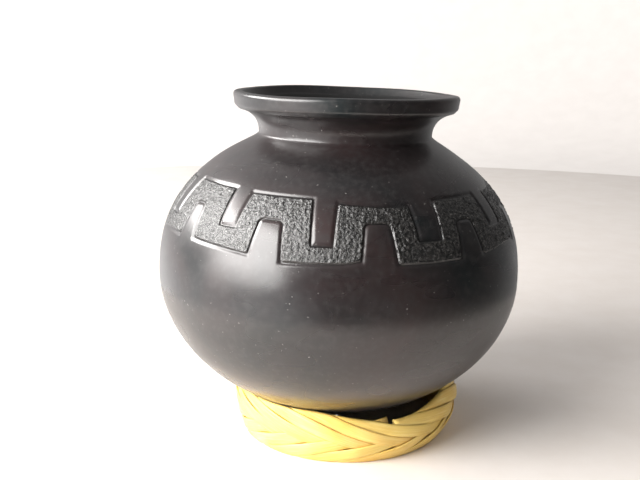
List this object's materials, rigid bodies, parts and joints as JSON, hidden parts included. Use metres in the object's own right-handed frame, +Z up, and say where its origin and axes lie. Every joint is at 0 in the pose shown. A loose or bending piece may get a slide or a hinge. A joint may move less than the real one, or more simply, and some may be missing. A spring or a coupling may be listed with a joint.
{
  "type": "clay pot on a plaited ring",
  "caption": "Round-bottomed burnished black clay pot with a short flared neck and a carved stepped band, resting in a plaited palm ring.",
  "frame": {"origin": "on the table, below the middle of the pot's belly", "axes": "+Z up out of the pot's mouth, -Y towards the front, +X to the right seen from the front"},
  "size_m": [0.16, 0.16, 0.1532],
  "materials": {
    "black_clay": "burnished satin gloss, with a matt pitted ground in the carved band",
    "palm": "dry satin fibre"
  },
  "bodies": {
    "ring": {"palm_strip_1": "palm", "palm_strip_2": "palm", "palm_strip_3": "palm", "palm_strip_4": "palm", "palm_strip_5": "palm", "palm_strip_6": "palm", "palm_strip_7": "palm", "palm_strip_8": "palm", "added_palm_strip": "palm"},
    "pot": {"pot": "black_clay"}
  },
  "joints": [
    {"name": "pot_lift", "type": "slide", "parent": "ring", "child": "pot", "axis": [0, 0, 1], "range_m": [0, 0.06]}
  ]
}
